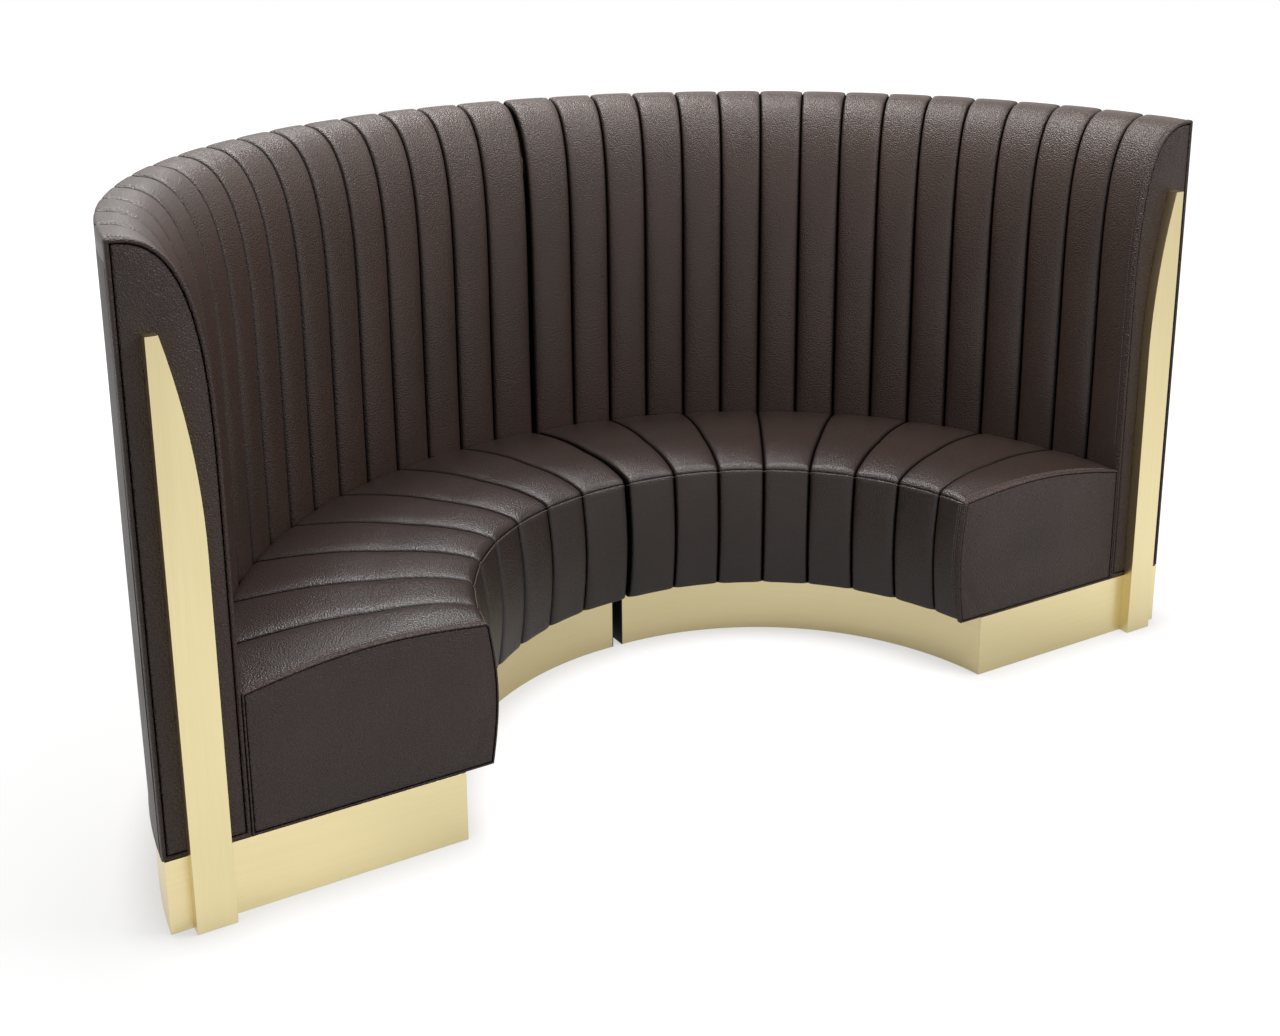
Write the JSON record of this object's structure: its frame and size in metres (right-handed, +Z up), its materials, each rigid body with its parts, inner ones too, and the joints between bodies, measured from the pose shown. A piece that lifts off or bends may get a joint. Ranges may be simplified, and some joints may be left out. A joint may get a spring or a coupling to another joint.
{
  "type": "booth seating",
  "caption": "Half-round upholstered booth seat in two mirrored modules, with a channelled high back and seat, a metal-clad plinth and a metal pillar at each open end.",
  "frame": {"origin": "centre of the footprint on the floor", "axes": "+X across the booth from the left module to the right, +Y from the open side to the middle of the back, +Z up"},
  "size_m": [2.4982, 1.193, 1.285],
  "materials": {
    "leather": "semi-matt pebbled hide",
    "brass": "fine brushed satin",
    "plywood": "raw birch plywood",
    "steel": "zinc plated",
    "black_panel": "matt black"
  },
  "bodies": {
    "root": {"left_plinth_inner_fascia": "brass", "right_plinth_inner_fascia": "brass", "left_plinth_outer_fascia": "brass", "right_plinth_outer_fascia": "brass", "left_plinth_end_plate": "brass", "right_plinth_end_plate": "brass", "left_plinth_joint_plate": "black_panel", "right_plinth_joint_plate": "black_panel", "left_base_ring": "plywood", "right_base_ring": "plywood", "left_plinth_ribs": "plywood", "right_plinth_ribs": "plywood", "left_body_base_board": "plywood", "right_body_base_board": "plywood", "left_joint_frame": "plywood", "right_joint_frame": "plywood", "left_rib_frames": "plywood", "right_rib_frames": "plywood", "left_end_frame": "plywood", "right_end_frame": "plywood", "left_seat_front_panel": "plywood", "right_seat_front_panel": "plywood", "left_seat_deck": "plywood", "right_seat_deck": "plywood", "left_seat_cushion": "leather", "right_seat_cushion": "leather", "left_seat_end_panel": "leather", "right_seat_end_panel": "leather", "left_seat_end_welt": "leather", "right_seat_end_welt": "leather", "left_back_inner_sheet": "plywood", "right_back_inner_sheet": "plywood", "left_back_outer_sheet": "plywood", "right_back_outer_sheet": "plywood", "left_back_outer_cover": "leather", "right_back_outer_cover": "leather", "left_back_top_rail": "plywood", "right_back_top_rail": "plywood", "left_back_cushion": "leather", "right_back_cushion": "leather", "left_back_end_panel": "leather", "right_back_end_panel": "leather", "left_back_end_welt": "leather", "right_back_end_welt": "leather", "left_end_pillar": "brass", "right_end_pillar": "brass", "left_pillar_screws": "steel", "right_pillar_screws": "steel", "left_foot_sockets": "steel", "right_foot_sockets": "steel", "link_bolts": "steel", "link_spacers": "black_panel"},
    "left_joint_foot": {"left_foot_joint": "steel"},
    "left_middle_foot": {"left_foot_middle": "steel"},
    "left_end_foot": {"left_foot_end": "steel"},
    "right_joint_foot": {"right_foot_joint": "steel"},
    "right_middle_foot": {"right_foot_middle": "steel"},
    "right_end_foot": {"right_foot_end": "steel"}
  },
  "joints": [
    {"name": "left_joint_foot_screw", "type": "slide", "parent": "root", "child": "left_joint_foot", "axis": [0, 0, -1], "range_m": [0, 0.02]},
    {"name": "left_middle_foot_screw", "type": "slide", "parent": "root", "child": "left_middle_foot", "axis": [0, 0, -1], "range_m": [0, 0.02]},
    {"name": "left_end_foot_screw", "type": "slide", "parent": "root", "child": "left_end_foot", "axis": [0, 0, -1], "range_m": [0, 0.02]},
    {"name": "right_joint_foot_screw", "type": "slide", "parent": "root", "child": "right_joint_foot", "axis": [0, 0, -1], "range_m": [0, 0.02]},
    {"name": "right_middle_foot_screw", "type": "slide", "parent": "root", "child": "right_middle_foot", "axis": [0, 0, -1], "range_m": [0, 0.02]},
    {"name": "right_end_foot_screw", "type": "slide", "parent": "root", "child": "right_end_foot", "axis": [0, 0, -1], "range_m": [0, 0.02]}
  ]
}
